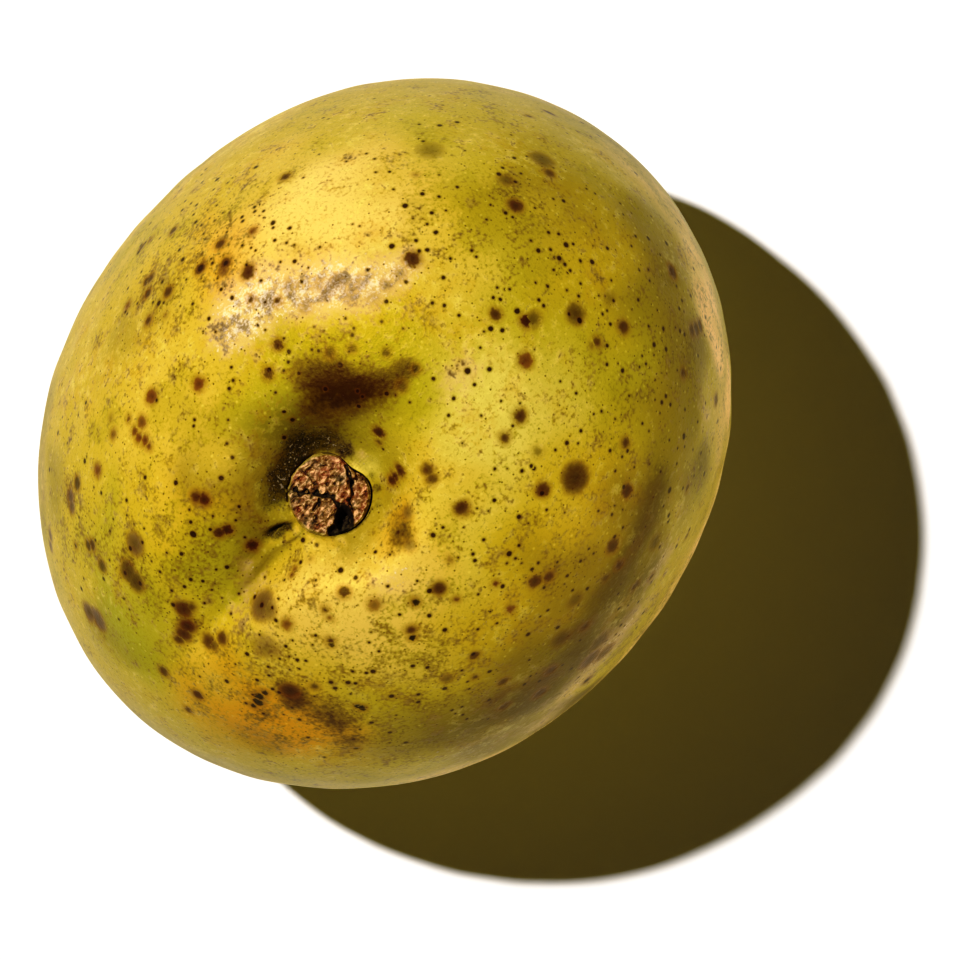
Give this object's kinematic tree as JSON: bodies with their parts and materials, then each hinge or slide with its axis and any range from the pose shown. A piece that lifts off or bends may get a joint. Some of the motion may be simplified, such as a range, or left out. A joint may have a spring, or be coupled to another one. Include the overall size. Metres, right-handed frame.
{
  "type": "mango",
  "caption": "Whole ripe mango standing on a small flat spot at its apex, with the dry stub of its stem in the cavity on top.",
  "frame": {"origin": "middle of the plan of the fruit, at the level of the flat spot it stands on", "axes": "+Z from the apex up to the stem; +X towards the dorsal side, away from the beak; +Y towards a cheek"},
  "size_m": [0.096, 0.0834, 0.1017],
  "materials": {
    "skin": "waxy, semi-gloss, yellow over green, with dark speckles",
    "stem_wood": "dry, rough, broken end grain"
  },
  "bodies": {
    "root": {"fruit": "skin", "stem_stub": "stem_wood"}
  },
  "joints": []
}
